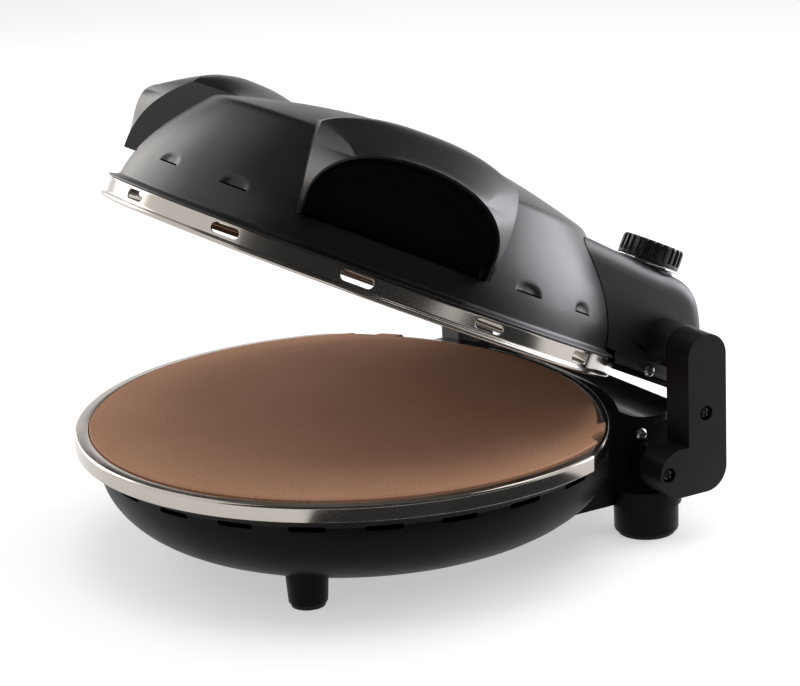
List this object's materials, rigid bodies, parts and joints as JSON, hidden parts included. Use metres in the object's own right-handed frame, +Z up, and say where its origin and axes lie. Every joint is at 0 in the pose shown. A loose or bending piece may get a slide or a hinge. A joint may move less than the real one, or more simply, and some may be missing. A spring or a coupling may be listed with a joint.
{
  "type": "pizza maker",
  "caption": "Round countertop pizza maker: a baking stone in a steel-rimmed bowl under a domed lid with grip hoods, hinged at the back, with a thermostat knob.",
  "frame": {"origin": "on the table, under the middle of the box that holds the whole cooker as drawn, with its lid part-way open", "axes": "+Z up, +Y towards the hinge at the back, +X to the right of someone at the front"},
  "size_m": [0.348, 0.3674, 0.2824],
  "materials": {
    "base_black": "satin",
    "deck_black": "satin",
    "arm_black": "satin",
    "dome_black": "satin",
    "housing_black": "satin",
    "pocket_black": "matte",
    "rim_steel": "polished",
    "pan_steel": "satin",
    "stone": "matte",
    "heater": "oxidised",
    "clip_steel": "satin",
    "screw_steel": "zinc plated",
    "screw_black": "blackened",
    "pin_steel": "turned",
    "washer": "satin",
    "pad_rubber": "matte",
    "foot_black": "satin",
    "ceramic_block": "matte",
    "gland_black": "matte",
    "thermostat_body": "matte",
    "knob_black": "satin",
    "knob_chrome": "polished"
  },
  "bodies": {
    "base": {"base_shell": "base_black", "base_steel_ring": "rim_steel", "stone_pan": "pan_steel", "baking_stone": "stone", "lower_heating_element": "heater", "lower_element_clips": "clip_steel", "rear_deck": "deck_black", "deck_screws": "screw_steel", "front_feet": "foot_black", "rear_feet": "foot_black", "foot_pads": "pad_rubber", "terminal_block": "ceramic_block", "cord_gland": "gland_black", "left_arm_frame": "arm_black", "left_arm_cover": "arm_black", "right_arm_frame": "arm_black", "right_arm_cover": "arm_black", "arm_screws": "screw_black", "hinge_pins": "pin_steel", "hinge_washers": "washer"},
    "lid": {"lid_dome": "dome_black", "lid_steel_ring": "rim_steel", "lid_reflector": "pan_steel", "upper_heating_element": "heater", "upper_element_clips": "clip_steel", "left_grip_pocket": "pocket_black", "right_grip_pocket": "pocket_black", "lid_housing": "housing_black", "housing_cover": "deck_black", "housing_screws": "screw_steel", "thermostat": "thermostat_body", "knob_collar": "knob_black"},
    "knob": {"thermostat_spindle": "pin_steel", "control_knob": "knob_black", "knob_ring": "knob_chrome"}
  },
  "joints": [
    {"name": "lid_hinge", "type": "hinge", "parent": "base", "child": "lid", "pos_m": [0, 0.15152, 0.1164], "axis": [-1, 0, 0], "range_deg": [-26.3, 63.7]},
    {"name": "knob_turn", "type": "hinge", "parent": "lid", "child": "knob", "pos_m": [0.075, 0.15766, 0.162], "axis": [0, 0.4431, 0.8965], "range_deg": [0, 270]}
  ]
}
